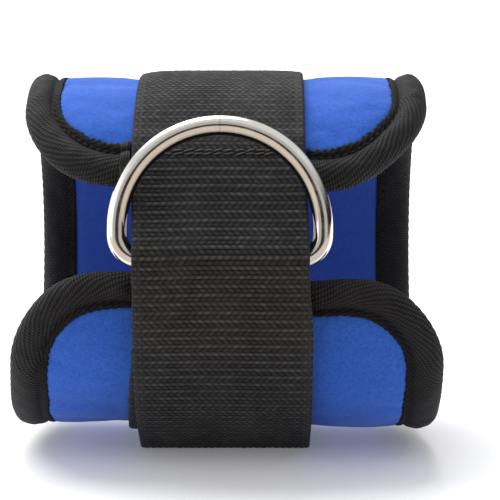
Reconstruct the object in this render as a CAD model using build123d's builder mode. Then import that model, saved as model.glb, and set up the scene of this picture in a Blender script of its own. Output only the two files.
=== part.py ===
"""Padded ankle cuff with a webbing strap and a D-ring, lying on its side.

Millimetres. X runs along the cuff's axis, Z is up, and the gap between the two flaps faces -Y.
The floor is z = 0. Angles are measured about the cuff's axis, from the front (-Y) upwards, so
the crown is at 90 degrees, the back at 180 and the lowest point at 270 (or -90).
"""
import os
from math import acos, cos, degrees, radians, sin

from build123d import *

os.makedirs("parts", exist_ok=True)

# Pad: a foam sheet between two fabrics, rolled into an open ring
PAD_OUTER = 53.5
PAD_INNER = 46.9
COVER = 0.8
LINING = 0.8
PAD_WIDTH = 118.0
UPPER_TIP = 31.0
LOWER_TIP = 361.0
CORNER = 32.0

# Binding tape folded over the pad's whole edge
TAPE = 1.0
TAPE_COVER = 10.5
TAPE_OUTER = PAD_OUTER + TAPE
TAPE_SEAM = 8.0
THREAD_WIDTH = 0.6
THREAD_HEIGHT = 0.25
LOW_THREAD = 0.15

# 50 mm webbing
WEB = 1.4
WEB_WIDTH = 50.0
WEB_ON_PAD = PAD_OUTER + WEB / 2
WEB_ON_TAPE = TAPE_OUTER + WEB / 2
WEB_LOWER_END = 336.0
STRAP_X = -1.7
TAIL_WIDTH = 49.2

# D-ring: a straight bar at the bottom and a half-round arch above it
WIRE = 2.8
RING_HALF = 28.5
RING_CORNER = 8.0
RING_LEAN = 7.5
BAR_RADIUS = 57.0
BAR_ANGLE = 6.0

# Webbing loop that holds the bar
GAP = 0.1
LOOP_INNER = WIRE + GAP
LOOP_OUTER = LOOP_INNER + WEB
KEEPER_WIDTH = 38.0

# Closure strap: over the bar, down the lower flap and flat under the cuff
STRAP_GAP = 0.6
STRAP_TURN = LOOP_OUTER + STRAP_GAP + WEB / 2
TAIL_RADIUS = 57.9
TAIL_LEAVE = 45.0
TAIL_BEND = 8.0
TAIL_END = 22.0
HINGE_GAP = 9.0

# Hook-and-loop patches
LOOP_THICK = 1.1
HOOK_THICK = 0.9
PATCH_WIDTH = 46.0
HOOK_WIDTH = 44.0

# The cuff's axis, placed so that the whole object is centred in Y and stands on z = 0
AXIS_Z = TAIL_RADIUS + WEB / 2
FRONT = BAR_RADIUS * cos(radians(BAR_ANGLE)) + STRAP_TURN + WEB / 2
BACK = PAD_OUTER + WEB
AXIS_Y = (FRONT - BACK) / 2

SIDE = Plane(origin=(0, AXIS_Y, AXIS_Z), x_dir=(0, -1, 0), z_dir=(-1, 0, 0))
STRAP_SIDE = Plane(origin=(STRAP_X, AXIS_Y, AXIS_Z), x_dir=(0, -1, 0), z_dir=(-1, 0, 0))


def polar(radius, angle):
    """A point in the side view: (towards the front, up)."""
    return (radius * cos(radians(angle)), radius * sin(radians(angle)))


BAR = polar(BAR_RADIUS, BAR_ANGLE)
UP_LINE = BAR_ANGLE + degrees(acos((WEB_ON_TAPE - STRAP_TURN) / BAR_RADIUS))
DOWN_LINE = BAR_ANGLE - degrees(acos((TAIL_RADIUS - STRAP_TURN) / BAR_RADIUS))


def around_bar(radius, angle):
    """A point in the side view at this distance and direction from the ring's bar."""
    out = polar(radius, angle)
    return (BAR[0] + out[0], BAR[1] + out[1])


def arc_angle(length):
    """The angle that a length along the pad's outside takes up."""
    return degrees(length / PAD_OUTER)


def tangent_plane(angle):
    """A plane square to the radius at this angle, just inside the pad, with Y along the pad."""
    out = Vector(0, -cos(radians(angle)), sin(radians(angle)))
    start = Vector(0, AXIS_Y, AXIS_Z) + out * (PAD_INNER - 10)
    return Plane(origin=start, x_dir=(1, 0, 0), z_dir=out)


def sector(r_in, r_out, start, end):
    """Part of a ring about the cuff's axis, in the side view."""
    with BuildSketch() as part_ring:
        Circle(r_out)
        Circle(r_in, mode=Mode.SUBTRACT)
        if end - start < 359:
            with BuildLine():
                Polyline(
                    (0, 0),
                    *[polar(2 * r_out, end + (start + 360 - end) * step / 8) for step in range(9)],
                    (0, 0),
                )
            make_face(mode=Mode.SUBTRACT)
    return part_ring.sketch


def rolled_sheet(r_in, r_out, inset):
    """A layer of the pad, its outline inset from the pad's edge, with rounded corners."""
    width = PAD_WIDTH - 2 * inset
    start = UPPER_TIP + arc_angle(inset)
    end = LOWER_TIP - arc_angle(inset)
    corner = CORNER - inset
    half = arc_angle(corner) / 2
    reach = PAD_OUTER * sin(radians(half))
    with BuildPart() as sheet:
        with BuildSketch(SIDE):
            add(sector(r_in, r_out, start, end))
        extrude(amount=width / 2, both=True)
        for middle, side in ((start + half, -1), (end - half, 1)):
            with BuildSketch(tangent_plane(middle)):
                with Locations((0, side * 3)):
                    Rectangle(width + 10, 2 * reach + 6)
                Rectangle(width - 2 * corner, 2 * reach + 20, mode=Mode.SUBTRACT)
                with Locations((width / 2 - corner, -side * reach), (corner - width / 2, -side * reach)):
                    Ellipse(corner, 2 * reach, mode=Mode.SUBTRACT)
            extrude(amount=30, mode=Mode.SUBTRACT)
    return sheet.part


def band(r_in, r_out, start, end, width, middle=STRAP_X):
    """A strip of webbing or thread bent about the cuff's axis."""
    with BuildPart() as strip:
        with BuildSketch(SIDE.offset(-middle)):
            add(sector(r_in, r_out, start, end))
        extrude(amount=width / 2, both=True)
    return strip.part


def frame_of_thread(radius, start, end, width):
    """A rectangle of sewing thread standing on a surface of this radius."""
    turn = degrees(THREAD_WIDTH / radius)
    high = radius + LOW_THREAD
    with BuildPart() as thread:
        add(band(radius, high, start, end, width))
        add(band(radius - 1, high + 1, start + turn, end - turn, width - 2 * THREAD_WIDTH),
            mode=Mode.SUBTRACT)
    return thread.part


def tail_line(inset, start):
    """The strap tail's path, this far inside its middle, from an angle to its free end."""
    bend_up = TAIL_RADIUS - TAIL_BEND
    bend_front = bend_up * (1 - sin(radians(TAIL_LEAVE))) / cos(radians(TAIL_LEAVE))
    bend = TAIL_BEND - inset
    low = (bend_front, -bend_up - bend)
    corner = polar(bend, -TAIL_LEAVE)
    CenterArc((0, 0), TAIL_RADIUS - inset, -TAIL_LEAVE, start + TAIL_LEAVE)
    Line(polar(TAIL_RADIUS - inset, -TAIL_LEAVE), (bend_front + corner[0], corner[1] - bend_up))
    CenterArc((bend_front, -bend_up), bend, -90, 90 - TAIL_LEAVE)
    Line(low, (-TAIL_END, low[1]))


# Binding: a folded tape, its outer leaf proud of the cover and its inner leaf flush with the lining
with BuildPart() as edge_binding:
    add(rolled_sheet(PAD_INNER, TAPE_OUTER, -TAPE))
    add(rolled_sheet(PAD_INNER - 1, TAPE_OUTER + 1, TAPE_COVER), mode=Mode.SUBTRACT)
    add(rolled_sheet(PAD_INNER + TAPE, PAD_OUTER, 0), mode=Mode.SUBTRACT)
edge_binding.part.label = "edge_binding"
export_step(edge_binding.part, "parts/edge_binding.step")

# Foam: thinner under the binding's inner leaf, where the tape squeezes it
FOAM_INNER = PAD_INNER + LINING
FOAM_OUTER = PAD_OUTER - COVER
with BuildPart() as foam_core:
    add(rolled_sheet(FOAM_INNER + TAPE, FOAM_OUTER, 0))
    add(rolled_sheet(FOAM_INNER, FOAM_OUTER, TAPE_COVER + LINING))
foam_core.part.label = "foam_core"
export_step(foam_core.part, "parts/foam_core.step")

with BuildPart() as inner_lining:
    add(rolled_sheet(PAD_INNER, FOAM_INNER + TAPE, 0))
    add(edge_binding.part, mode=Mode.SUBTRACT)
    add(foam_core.part, mode=Mode.SUBTRACT)
inner_lining.part.label = "inner_lining"
export_step(inner_lining.part, "parts/inner_lining.step")

with BuildPart() as outer_cover:
    add(rolled_sheet(FOAM_OUTER, PAD_OUTER, 0))
outer_cover.part.label = "outer_cover"
export_step(outer_cover.part, "parts/outer_cover.step")

# Where the binding tape's two ends overlap, on the upper flap's edge beside the strap
TAB_WIDTH = 4.2
TAB_THICK = 0.7
TAB_X = STRAP_X - WEB_WIDTH / 2 - 0.3 - TAB_WIDTH / 2
TAPE_TIP = UPPER_TIP - arc_angle(TAPE)
TAB_TIP = TAPE_TIP - arc_angle(TAB_THICK)
with BuildPart() as binding_end_tab:
    add(band(TAPE_OUTER, TAPE_OUTER + TAB_THICK, TAB_TIP, UPPER_TIP + 9, TAB_WIDTH, TAB_X))
    add(band(PAD_INNER, TAPE_OUTER + TAB_THICK, TAB_TIP, TAPE_TIP, TAB_WIDTH, TAB_X))
binding_end_tab.part.label = "binding_end_tab"
export_step(binding_end_tab.part, "parts/binding_end_tab.step")

# The binding's seam, left out where the webbing and the tape's overlap cover it
with BuildPart() as binding_stitching:
    add(rolled_sheet(TAPE_OUTER, TAPE_OUTER + THREAD_HEIGHT, TAPE_SEAM))
    add(rolled_sheet(TAPE_OUTER - 1, TAPE_OUTER + 2, TAPE_SEAM + THREAD_WIDTH), mode=Mode.SUBTRACT)
    add(band(PAD_INNER, TAPE_OUTER + 2, 0, 360, WEB_WIDTH + 0.4), mode=Mode.SUBTRACT)
    add(band(PAD_INNER, TAPE_OUTER + 2, 20, 60, TAB_WIDTH + 0.4, TAB_X), mode=Mode.SUBTRACT)
binding_stitching.part.label = "binding_stitching"
export_step(binding_stitching.part, "parts/binding_stitching.step")

# Webbing sewn round the pad, then free from the upper flap's end to the front of the ring's bar
RISE_LOW = 47.0
RISE_HIGH = 43.0
with BuildPart() as body_webbing:
    with BuildSketch(STRAP_SIDE):
        with BuildLine():
            CenterArc((0, 0), WEB_ON_PAD, RISE_LOW, WEB_LOWER_END - RISE_LOW)
            Spline(
                polar(WEB_ON_PAD, RISE_LOW),
                polar(WEB_ON_TAPE, RISE_HIGH),
                tangents=(polar(1, RISE_LOW - 90), polar(1, RISE_HIGH - 90)),
            )
            CenterArc((0, 0), WEB_ON_TAPE, UP_LINE, RISE_HIGH - UP_LINE)
            Line(polar(WEB_ON_TAPE, UP_LINE), around_bar(STRAP_TURN, UP_LINE))
            CenterArc(BAR, STRAP_TURN, DOWN_LINE + HINGE_GAP, UP_LINE - DOWN_LINE - HINGE_GAP)
        trace(line_width=WEB)
    extrude(amount=TAIL_WIDTH / 2, both=True)
body_webbing.part.label = "body_webbing"
export_step(body_webbing.part, "parts/body_webbing.step")

# Cross rows of thread where the webbing leaves the upper flap
with BuildPart() as anchor_stitching:
    for row in (35.4, 38.0):
        turn = degrees(THREAD_WIDTH / WEB_ON_TAPE)
        low = WEB_ON_TAPE + WEB / 2
        add(band(low, low + THREAD_HEIGHT, row, row + turn, 44.0))
anchor_stitching.part.label = "anchor_stitching"
export_step(anchor_stitching.part, "parts/anchor_stitching.step")

# Folded webbing that loops round the bar and is sewn to the lower flap
KEEPER_LOW = -10.6
KEEPER_HIGH = -11.4
KEEPER_INNER_END = -23.4
KEEPER_OUTER_END = -29.0
with BuildPart() as ring_keeper:
    with BuildSketch(STRAP_SIDE):
        add(sector(TAPE_OUTER, TAPE_OUTER + 2 * WEB, KEEPER_HIGH, BAR_ANGLE))
        add(sector(PAD_OUTER, PAD_OUTER + 2 * WEB, KEEPER_INNER_END, KEEPER_LOW))
        add(sector(PAD_OUTER + WEB, PAD_OUTER + 2 * WEB, KEEPER_OUTER_END, KEEPER_LOW))
        with Locations(BAR):
            Circle(LOOP_OUTER)
        with Locations(BAR):
            Circle(LOOP_INNER, mode=Mode.SUBTRACT)
    extrude(amount=KEEPER_WIDTH / 2, both=True)
ring_keeper.part.label = "ring_keeper"
export_step(ring_keeper.part, "parts/ring_keeper.step")

with BuildPart() as keeper_stitching:
    for row in (-14.0, -20.5, -27.5):
        low = PAD_OUTER + 2 * WEB
        add(band(low, low + THREAD_HEIGHT, row, row + 0.62, KEEPER_WIDTH - 5))
keeper_stitching.part.label = "keeper_stitching"
export_step(keeper_stitching.part, "parts/keeper_stitching.step")

# Loop patch on the sewn webbing, under the cuff's front and bottom
LOOP_START = -112.0
LOOP_END = -33.0
LOOP_BASE = PAD_OUTER + WEB
with BuildPart() as loop_patch:
    add(band(LOOP_BASE, LOOP_BASE + LOOP_THICK, LOOP_START, LOOP_END, PATCH_WIDTH))
loop_patch.part.label = "loop_patch"
export_step(loop_patch.part, "parts/loop_patch.step")

with BuildPart() as loop_stitching:
    add(frame_of_thread(LOOP_BASE + LOOP_THICK, LOOP_START + 1.5, LOOP_END - 1.5, PATCH_WIDTH - 2))
loop_stitching.part.label = "loop_stitching"
export_step(loop_stitching.part, "parts/loop_stitching.step")

# D-ring, bent from round wire in a plane through its bar
lean = radians(RING_LEAN)
ring_up = Vector(0, sin(lean), cos(lean))
ring_centre = Vector(STRAP_X, AXIS_Y - BAR[0], AXIS_Z + BAR[1])
RING_PLANE = Plane(origin=ring_centre, x_dir=(1, 0, 0), z_dir=Vector(1, 0, 0).cross(ring_up))
BAR_HALF = RING_HALF - RING_CORNER
with BuildPart() as d_ring:
    with BuildLine(RING_PLANE) as ring_path:
        Line((0, 0), (BAR_HALF, 0))
        CenterArc((BAR_HALF, RING_CORNER), RING_CORNER, -90, 90)
        CenterArc((0, RING_CORNER), RING_HALF, 0, 180)
        CenterArc((-BAR_HALF, RING_CORNER), RING_CORNER, 180, 90)
        Line((-BAR_HALF, 0), (0, 0))
    with BuildSketch(Plane(origin=ring_centre, x_dir=ring_up, z_dir=(1, 0, 0))):
        Circle(WIRE)
    sweep(path=ring_path.wire())
d_ring.part.label = "d_ring"
export_step(d_ring.part, "parts/d_ring.step")

# Free end of the strap, hinged where it comes off the bar
with BuildPart() as strap_tail:
    with BuildSketch(STRAP_SIDE):
        with BuildLine():
            Line(around_bar(STRAP_TURN, DOWN_LINE), polar(TAIL_RADIUS, DOWN_LINE))
            tail_line(0, DOWN_LINE)
        trace(line_width=WEB)
        with Locations(around_bar(STRAP_TURN, DOWN_LINE)):
            Circle(WEB / 2)
    extrude(amount=TAIL_WIDTH / 2, both=True)
strap_tail.part.label = "strap_tail"
export_step(strap_tail.part, "parts/strap_tail.step")

HOOK_START = -32.0
with BuildPart() as hook_patch:
    with BuildSketch(STRAP_SIDE):
        with BuildLine():
            tail_line((WEB + HOOK_THICK) / 2, HOOK_START)
        trace(line_width=HOOK_THICK)
    extrude(amount=HOOK_WIDTH / 2, both=True)
hook_patch.part.label = "hook_patch"
export_step(hook_patch.part, "parts/hook_patch.step")

# Two rows of thread along the hook patch's edges
HOOK_THREAD = 0.12
with BuildPart() as hook_stitching:
    for side in (-1, 1):
        with BuildSketch(STRAP_SIDE.offset(side * (HOOK_WIDTH / 2 - 2.5))):
            with BuildLine():
                tail_line(WEB / 2 + HOOK_THICK + HOOK_THREAD / 2, HOOK_START - 1)
            trace(line_width=HOOK_THREAD)
        extrude(amount=THREAD_WIDTH / 2, both=True)
hook_stitching.part.label = "hook_stitching"
export_step(hook_stitching.part, "parts/hook_stitching.step")
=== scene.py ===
"""Looks of a padded ankle cuff with a webbing strap and a D-ring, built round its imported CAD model.

Lengths inside the builders are millimetres; MM turns them into metres at the end.
The pad is laid out flat first: x runs across it and s along its outside, from the upper flap's
end. wrap() rolls that sheet round the cuff's axis. Straps are drawn in the side view, as
(towards the front, up) from the same axis.
"""
import math

import bmesh
import bpy
import numpy as np
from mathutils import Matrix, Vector


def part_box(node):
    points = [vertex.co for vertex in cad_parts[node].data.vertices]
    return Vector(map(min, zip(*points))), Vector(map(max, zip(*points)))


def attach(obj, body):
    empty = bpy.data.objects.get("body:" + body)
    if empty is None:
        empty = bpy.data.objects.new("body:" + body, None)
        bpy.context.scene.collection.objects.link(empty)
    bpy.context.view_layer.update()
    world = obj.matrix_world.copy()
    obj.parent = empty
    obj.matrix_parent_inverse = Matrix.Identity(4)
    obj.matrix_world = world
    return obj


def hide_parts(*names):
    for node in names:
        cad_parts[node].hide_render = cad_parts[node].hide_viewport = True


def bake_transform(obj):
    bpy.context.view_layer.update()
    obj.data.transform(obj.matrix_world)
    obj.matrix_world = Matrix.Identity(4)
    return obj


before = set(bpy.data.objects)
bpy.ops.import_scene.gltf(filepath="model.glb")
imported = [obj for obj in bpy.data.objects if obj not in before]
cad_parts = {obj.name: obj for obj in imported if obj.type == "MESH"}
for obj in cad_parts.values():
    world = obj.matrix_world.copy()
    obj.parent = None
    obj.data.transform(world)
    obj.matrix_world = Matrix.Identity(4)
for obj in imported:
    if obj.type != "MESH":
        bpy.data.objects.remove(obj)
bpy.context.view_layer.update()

MM = 0.001

# Dimensions, as in the CAD model
R_OUT = 53.5
FOAM_R = 52.7
PAD_THICK = 6.6
MID_DEPTH = PAD_THICK / 2
HALF_W = 59.0
CORNER = 32.0
UPPER_TIP = math.radians(31.0)
LENGTH = math.radians(330.0) * R_OUT
WEB = 1.4
STRAP_X = -1.7
WIRE = 2.8
RING_HALF = 28.5
RING_LEAN = math.radians(7.5)
BAR_R = 57.0
BAR_ANGLE = 6.0
STRAP_TURN = 5.6
TAIL_R = 57.9
TAPE_TOP = 1.0

# Dimensions of the looks only, which differ from the CAD model or aren't in it
STRAP_HALF = 24.5
RING_CORNER = 6.6
RING_RISE = 8.4
RING_DROP = 0.4
RING_X = -0.9
LOOP_X = -3.0
PATCH_HALF = 22.0
SEAM_PITCH = 3.05
ROW = 1.38
CELL = 1.95

_, foam_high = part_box("foam_core")
AXIS_Y = foam_high.y / MM - FOAM_R
AXIS_Z = foam_high.z / MM - FOAM_R


# ---------------------------------------------------------------- geometry helpers

def smooth(t):
    """A soft step from 0 to 1."""
    t = np.clip(t, 0.0, 1.0)
    return t * t * (3 - 2 * t)


def ease(at, *keys):
    """A soft curve through (place, amount) keys, level at each of them."""
    at = np.asarray(at, float)
    out = np.full(at.shape, float(keys[0][1]))
    for (a, low), (b, high) in zip(keys, keys[1:]):
        out = out + (high - low) * smooth((at - a) / (b - a))
    return out


def wrap(x, s, h):
    """Roll flat points (x, s) standing h above the cover onto the cuff, in millimetres.

    The real pad isn't a true cylinder: it is narrower at the upper flap, wider at the lower one,
    its ends hang a little unevenly, and its top and bottom are pressed flatter.
    """
    x, s, h = np.broadcast_arrays(np.asarray(x, float), s, h)
    wide = ease(s, (12, 0.965), (58, 0.984), (110, 1.008), (200, 1.008), (245, 1.052), (LENGTH - 8, 1.020))
    aside = ease(s, (40, 0.5), (110, -0.45), (200, -0.45), (250, 0.1), (LENGTH - 25, 0.9))
    upper = ease(x, (-57, 3.8), (-28, 0.5), (-5, 0.4), (36, 2.2), (56, 0.0))
    lower = ease(x, (-52, -2.2), (-26, 1.2), (0, 2.0), (24, 4.1), (50, -0.1))
    flatten = ease(s, (5, 0.7), (50, 1.35), (110, 1.0), (190, 1.0))
    bottom = 1.3 - 1.1 * smooth((x + 30) / 60)
    flatten = flatten + (bottom - 1.0) * smooth((s - 190) / 35) + (0.6 - bottom) * smooth((s - 262) / 30)
    s = s - upper * smooth((70 - s) / 70) - lower * smooth((s - (LENGTH - 60)) / 60)
    angle = UPPER_TIP + s / R_OUT
    radius = R_OUT + h - flatten * smooth((h + 6) / 4.5)
    out = np.empty(x.shape + (3,))
    out[..., 0] = x * wide + aside
    out[..., 1] = AXIS_Y - radius * np.cos(angle)
    out[..., 2] = AXIS_Z + radius * np.sin(angle)
    return out


def edge_distance(x, s):
    """Distance in from the pad's rounded outline, and a length that runs along that outline."""
    qx = np.abs(x) - (HALF_W - CORNER)
    qs = np.abs(s - LENGTH / 2) - (LENGTH / 2 - CORNER)
    corner = (qx > 0) & (qs > 0)
    far = np.hypot(np.maximum(qx, 0), np.maximum(qs, 0))
    d = np.where(corner, CORNER - far, CORNER - np.maximum(qx, qs))
    p = np.where(qx > qs, s, x)
    p = np.where(corner, np.arctan2(qs, np.maximum(qx, 1e-6)) * CORNER, p)
    return d, p


def mesh_object(name, points, quads, uv=None, material=None, material_index=None):
    """A mesh from millimetre points and quads. uv holds one pair per quad corner, in mm."""
    mesh = bpy.data.meshes.new(name)
    quads = np.asarray(quads, np.int32)
    mesh.vertices.add(len(points))
    mesh.vertices.foreach_set("co", (np.asarray(points, float) * MM).ravel())
    mesh.loops.add(quads.size)
    mesh.loops.foreach_set("vertex_index", quads.ravel())
    mesh.polygons.add(len(quads))
    mesh.polygons.foreach_set("loop_start", np.arange(0, quads.size, 4, dtype=np.int32))
    mesh.polygons.foreach_set("use_smooth", np.ones(len(quads), bool))
    if material_index is not None:
        mesh.polygons.foreach_set("material_index", np.asarray(material_index, np.int32))
    mesh.update(calc_edges=True)
    if uv is not None:
        layer = mesh.uv_layers.new(name="UVMap")
        layer.data.foreach_set("uv", np.asarray(uv, float).ravel())
    mesh.validate()
    obj = bpy.data.objects.new(name, mesh)
    bpy.context.scene.collection.objects.link(obj)
    for m in material if isinstance(material, (list, tuple)) else [material]:
        if m is not None:
            mesh.materials.append(m)
    return obj


def grid_quads(nu, nv, close_u=False, close_v=False):
    """Quads of a grid of nu by nv points, and each corner's own (row, column)."""
    iu = np.arange(nu if close_u else nu - 1)
    iv = np.arange(nv if close_v else nv - 1)
    a, b = np.meshgrid(iu, iv, indexing="ij")
    a, b = a.ravel(), b.ravel()
    rows = np.stack([a, a + 1, a + 1, a], 1)
    cols = np.stack([b, b, b + 1, b + 1], 1)
    quads = (rows % nu) * nv + (cols % nv)
    return quads, rows, cols


def loft(name, points, uv_u, uv_v, material, close_u=False, caps=False):
    """A tube through points[u, v], closed in v. uv_u and uv_v hold one value per row and column,
    with one more where that direction is closed."""
    nu, nv = points.shape[:2]
    quads, rows, cols = grid_quads(nu, nv, close_u, True)
    uv = np.stack([np.asarray(uv_v)[cols], np.asarray(uv_u)[rows]], -1)
    obj = mesh_object(name, points.reshape(-1, 3), quads, uv, material)
    if caps:
        mesh = bmesh.new()
        mesh.from_mesh(obj.data)
        mesh.verts.ensure_lookup_table()
        for row in (0, nu - 1):
            ring = [mesh.verts[row * nv + c] for c in range(nv)]
            if row == 0:
                ring.reverse()
            face = mesh.faces.new(ring)
            face.smooth = False
        bmesh.ops.recalc_face_normals(mesh, faces=mesh.faces)
        mesh.to_mesh(obj.data)
        mesh.free()
    return obj


def outward(obj):
    """Turn every face of a closed mesh outwards."""
    mesh = bmesh.new()
    mesh.from_mesh(obj.data)
    bmesh.ops.recalc_face_normals(mesh, faces=mesh.faces)
    mesh.to_mesh(obj.data)
    mesh.free()
    return obj


def polar(radius, degrees):
    """A side-view point at this radius and angle, from straight ahead upwards."""
    a = math.radians(degrees)
    return np.array([radius * math.cos(a), radius * math.sin(a)])


def side_point(x, point):
    """A side-view point (towards the front, up) at x, as (x, y, z) in millimetres."""
    return np.array([x, AXIS_Y - point[0], AXIS_Z + point[1]])


BAR = polar(BAR_R, BAR_ANGLE)
UP_LINE = BAR_ANGLE + math.degrees(math.acos((R_OUT + TAPE_TOP + WEB / 2 - STRAP_TURN) / BAR_R))
DOWN_LINE = BAR_ANGLE - math.degrees(math.acos((TAIL_R - STRAP_TURN) / BAR_R))
PIVOT = BAR + polar(STRAP_TURN, DOWN_LINE)
ANCHOR = 37.5
TAIL_MEETS = -44
BULGE = 2.2


def arc(centre, radius, a0, a1, step=0.4):
    """Side-view points on a round stretch, from angle a0 to a1."""
    n = max(2, int(abs(math.radians(a1 - a0)) * radius / step))
    return [np.array(centre) + polar(radius, a0 + (a1 - a0) * i / n) for i in range(n + 1)]


def resample(points, step):
    """Points an even step apart along a path, their outward normals and their lengths along it."""
    points = np.array(points)
    length = np.concatenate([[0], np.cumsum(np.hypot(*np.diff(points, axis=0).T))])
    keep = np.concatenate([[True], np.diff(length) > 1e-6])
    points, length = points[keep], length[keep]
    n = int(round(length[-1] / step))
    at = np.linspace(0, length[-1], n + 1)
    out = np.stack([np.interp(at, length, points[:, i]) for i in (0, 1)], 1)
    for _ in range(6):
        out[1:-1] = out[1:-1] * 0.5 + (out[:-2] + out[2:]) * 0.25
    tangent = np.gradient(out, axis=0)
    tangent /= np.linalg.norm(tangent, axis=1)[:, None]
    normal = np.stack([-tangent[:, 1], tangent[:, 0]], 1)
    return out, normal, at


# ---------------------------------------------------------------- material helpers

class Nodes:
    """Short calls for building a material's node tree."""

    def __init__(self, name):
        self.material = bpy.data.materials.new(name)
        self.material.use_nodes = True
        self.tree = self.material.node_tree
        self.shader = self.tree.nodes["Principled BSDF"]

    def node(self, kind, **settings):
        made = self.tree.nodes.new(kind)
        for key, value in settings.items():
            setattr(made, key, value)
        return made

    def link(self, source, target):
        if isinstance(source, bpy.types.NodeSocket):
            self.tree.links.new(source, target)
        else:
            target.default_value = source

    def math(self, op, a, b=None, c=None):
        n = self.node("ShaderNodeMath", operation=op)
        for socket, value in zip(n.inputs, (a, b, c)):
            if value is not None:
                self.link(value, socket)
        return n.outputs[0]

    def uv(self):
        n = self.node("ShaderNodeUVMap", uv_map="UVMap")
        s = self.node("ShaderNodeSeparateXYZ")
        self.link(n.outputs[0], s.inputs[0])
        return s.outputs[0], s.outputs[1]

    def noise(self, scale, detail, rough):
        n = self.node("ShaderNodeTexNoise")
        n.inputs["Scale"].default_value = scale
        n.inputs["Detail"].default_value = detail
        n.inputs["Roughness"].default_value = rough
        self.link(self.node("ShaderNodeTexCoord").outputs["Object"], n.inputs["Vector"])
        return n.outputs["Fac"]

    def ramp(self, value, *stops):
        n = self.node("ShaderNodeValToRGB")
        elements = n.color_ramp.elements
        while len(elements) < len(stops):
            elements.new(0.5)
        for element, (place, colour) in zip(elements, stops):
            element.position = place
            element.color = (*colour, 1)
        self.link(value, n.inputs[0])
        return n.outputs[0]

    def mix(self, factor, a, b):
        n = self.node("ShaderNodeMix", data_type="RGBA")
        self.link(factor, n.inputs[0])
        self.link(a if not isinstance(a, tuple) else (*a, 1), n.inputs[6])
        self.link(b if not isinstance(b, tuple) else (*b, 1), n.inputs[7])
        return n.outputs[2]

    def bump(self, height, distance, strength, normal=None):
        n = self.node("ShaderNodeBump")
        n.inputs["Strength"].default_value = strength
        n.inputs["Distance"].default_value = distance
        self.link(height, n.inputs["Height"])
        if normal is not None:
            self.link(normal, n.inputs["Normal"])
        return n.outputs[0]

    def set(self, **values):
        for key, value in values.items():
            socket = self.shader.inputs[key.replace("_", " ")]
            if isinstance(value, tuple) and len(value) == 3:
                value = (*value, 1)
            self.link(value, socket)
        return self.material


def make_cover(name, colour, dark):
    """Knitted fabric laminated to foam: matt, finely mottled, with a faint knit."""
    knit_across, knit_along = 0.42, 0.55
    n = Nodes(name)
    u, v = n.uv()
    big = n.noise(28.0, 3.0, 0.55)
    fine = n.noise(2600.0, 2.0, 0.6)
    mottled = n.noise(900.0, 3.0, 0.65)
    knit = n.math("MULTIPLY", n.math("SINE", n.math("MULTIPLY", u, math.pi / knit_across)),
                  n.math("SINE", n.math("MULTIPLY", v, math.pi / knit_along)))
    tone = n.math("ADD", n.math("MULTIPLY", big, 0.25), n.math("MULTIPLY", mottled, 0.35))
    tone = n.math("ADD", tone, n.math("MULTIPLY", fine, 0.4))
    base = n.ramp(tone, (0.36, dark), (0.64, colour))
    height = n.math("ADD", n.math("MULTIPLY", fine, 0.8), n.math("MULTIPLY", knit, 0.25))
    first = n.bump(height, 0.00008, 0.7)
    second = n.bump(mottled, 0.0003, 0.35, first)
    rough = n.ramp(mottled, (0.2, (0.78,) * 3), (0.8, (0.92,) * 3))
    return n.set(Base_Color=base, Roughness=rough, Normal=second, Sheen_Weight=0.12,
                 Sheen_Roughness=0.45, Specular_IOR_Level=0.2)


def make_binding():
    """Black polyester tape: fine ribs that run with the edge, crossed by finer yarns."""
    rib_pitch, yarn_pitch = 1.5, 0.85
    n = Nodes("binding_tape")
    u, v = n.uv()
    stray = n.math("MULTIPLY", n.math("SUBTRACT", n.noise(150.0, 3.0, 0.6), 0.5), 1.5)
    ribs = n.math("SINE", n.math("MULTIPLY", n.math("ADD", u, stray), 2 * math.pi / rib_pitch))
    ribs = n.math("ADD", n.math("MULTIPLY", ribs, 0.5), 0.5)
    across = n.math("SINE", n.math("MULTIPLY", n.math("ADD", v, stray), 2 * math.pi / yarn_pitch))
    across = n.math("ADD", n.math("MULTIPLY", across, 0.5), 0.5)
    both = n.math("MULTIPLY", n.math("ADD", n.math("MULTIPLY", ribs, 0.7), 0.3),
                  n.math("ADD", n.math("MULTIPLY", across, 0.65), 0.35))
    wear = n.noise(110.0, 4.0, 0.65)
    fibre = n.noise(2400.0, 3.0, 0.65)
    # The ribs and yarns also set the colour, lighter on their crests and darker between them: painted
    # shade. The wear and fibre noise are the tape's own uneven tone.
    shade = n.math("ADD", n.math("MULTIPLY", both, 0.7), n.math("MULTIPLY", wear, 0.25))
    shade = n.math("ADD", shade, n.math("MULTIPLY", fibre, 0.2))
    # painted shade: the tape is darkened from its seam out to its lip, beside the cover
    painted_lip_shade = n.node("ShaderNodeAttribute", attribute_name="painted_lip_shade").outputs["Fac"]
    shade = n.math("MULTIPLY", shade, n.math("SUBTRACT", 1.0, n.math("MULTIPLY", painted_lip_shade, 0.45)))
    base = n.ramp(shade, (0.26, (0.0020, 0.0020, 0.0023)), (0.86, (0.033, 0.033, 0.035)))
    first = n.bump(both, 0.00042, 1.0)
    second = n.bump(fibre, 0.00010, 0.7, first)
    rough = n.ramp(shade, (0.2, (0.85,) * 3), (0.9, (0.60,) * 3))
    return n.set(Base_Color=base, Roughness=rough, Normal=second, Specular_IOR_Level=0.22)


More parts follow.
